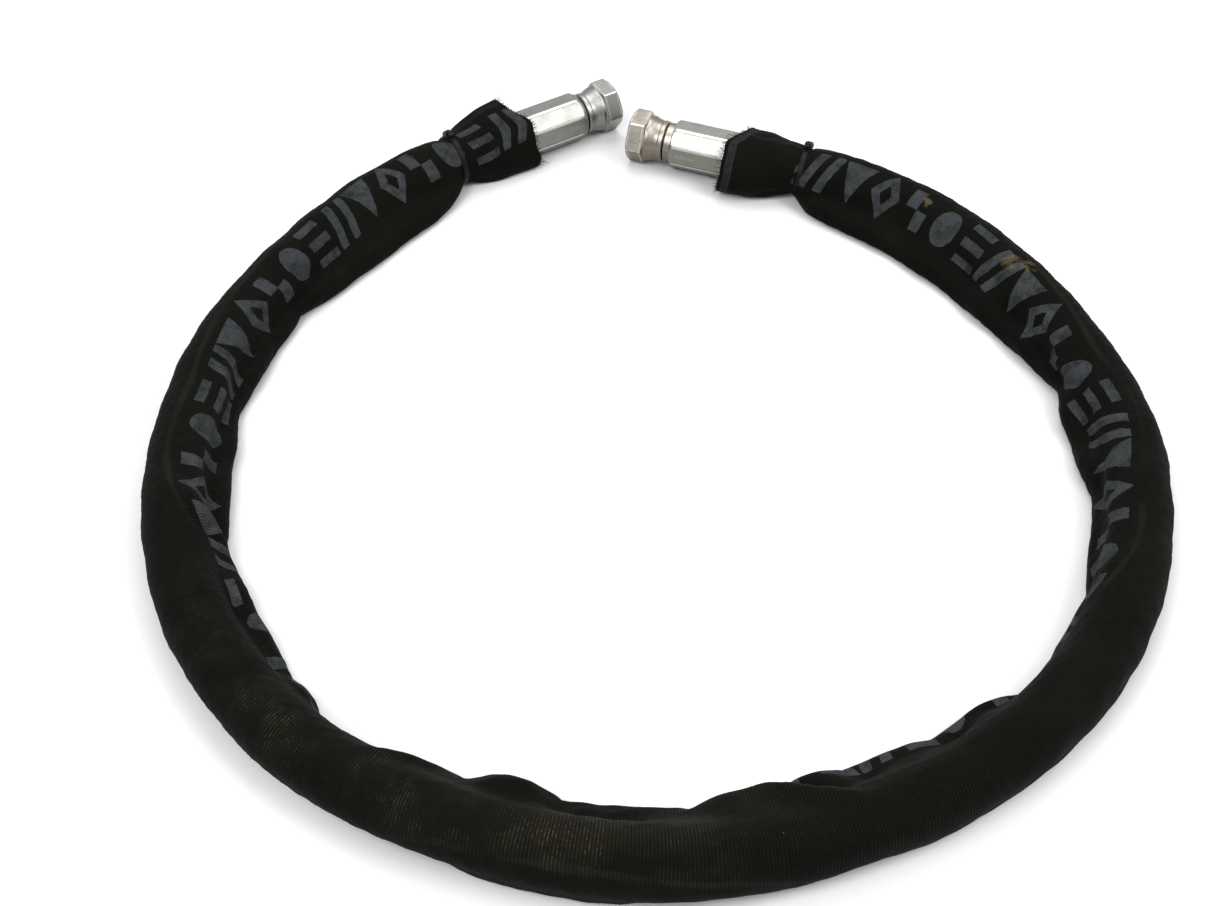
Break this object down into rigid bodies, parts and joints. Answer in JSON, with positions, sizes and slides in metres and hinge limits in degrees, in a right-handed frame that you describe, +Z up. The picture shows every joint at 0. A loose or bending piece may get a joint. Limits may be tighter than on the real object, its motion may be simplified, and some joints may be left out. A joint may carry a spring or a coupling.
{
  "type": "hydraulic hose assembly",
  "caption": "Hydraulic hose lying in a nearly closed loop, in a black woven abrasion sleeve, with a crimped fitting and swivel nut at each end.",
  "frame": {"origin": "on the floor under the middle of the whole object's box", "axes": "+X to the right, +Y across the loop towards the two fittings, which is the longest way, +Z up from the floor"},
  "size_m": [0.5731, 0.6112, 0.0379],
  "materials": {
    "tube_rubber": "smooth black nitrile",
    "braid_wire": "brass-coated steel wire, braided",
    "cover_rubber": "cloth-marked black synthetic rubber",
    "sleeve_nylon": "dense ribbed black nylon weave, dusty in places, grey printed marks",
    "ferrule_steel": "bright zinc-plated steel with crimp flats",
    "plated_steel": "turned zinc-plated steel",
    "nut_steel": "dull zinc-plated steel, lightly worn",
    "tie_nylon": "black nylon"
  },
  "bodies": {
    "hose_assembly": {"hose_inner_tube": "tube_rubber", "inner_wire_braid": "braid_wire", "outer_wire_braid": "braid_wire", "hose_cover": "cover_rubber", "abrasion_sleeve": "sleeve_nylon", "left_hose_stem": "plated_steel", "left_crimp_ferrule": "ferrule_steel", "left_cable_tie": "tie_nylon", "right_hose_stem": "plated_steel", "right_crimp_ferrule": "ferrule_steel", "right_cable_tie": "tie_nylon"},
    "left_nut": {"left_swivel_nut": "nut_steel"},
    "right_nut": {"right_swivel_nut": "nut_steel"}
  },
  "joints": [
    {"name": "left_nut_spin", "type": "hinge", "parent": "hose_assembly", "child": "left_nut", "pos_m": [-0.0465, 0.2771, 0.0172], "axis": [0.8545, 0.5195, 0], "continuous": true},
    {"name": "right_nut_spin", "type": "hinge", "parent": "hose_assembly", "child": "right_nut", "pos_m": [0.0144, 0.2458, 0.0172], "axis": [-0.9403, 0.3404, 0], "continuous": true}
  ]
}
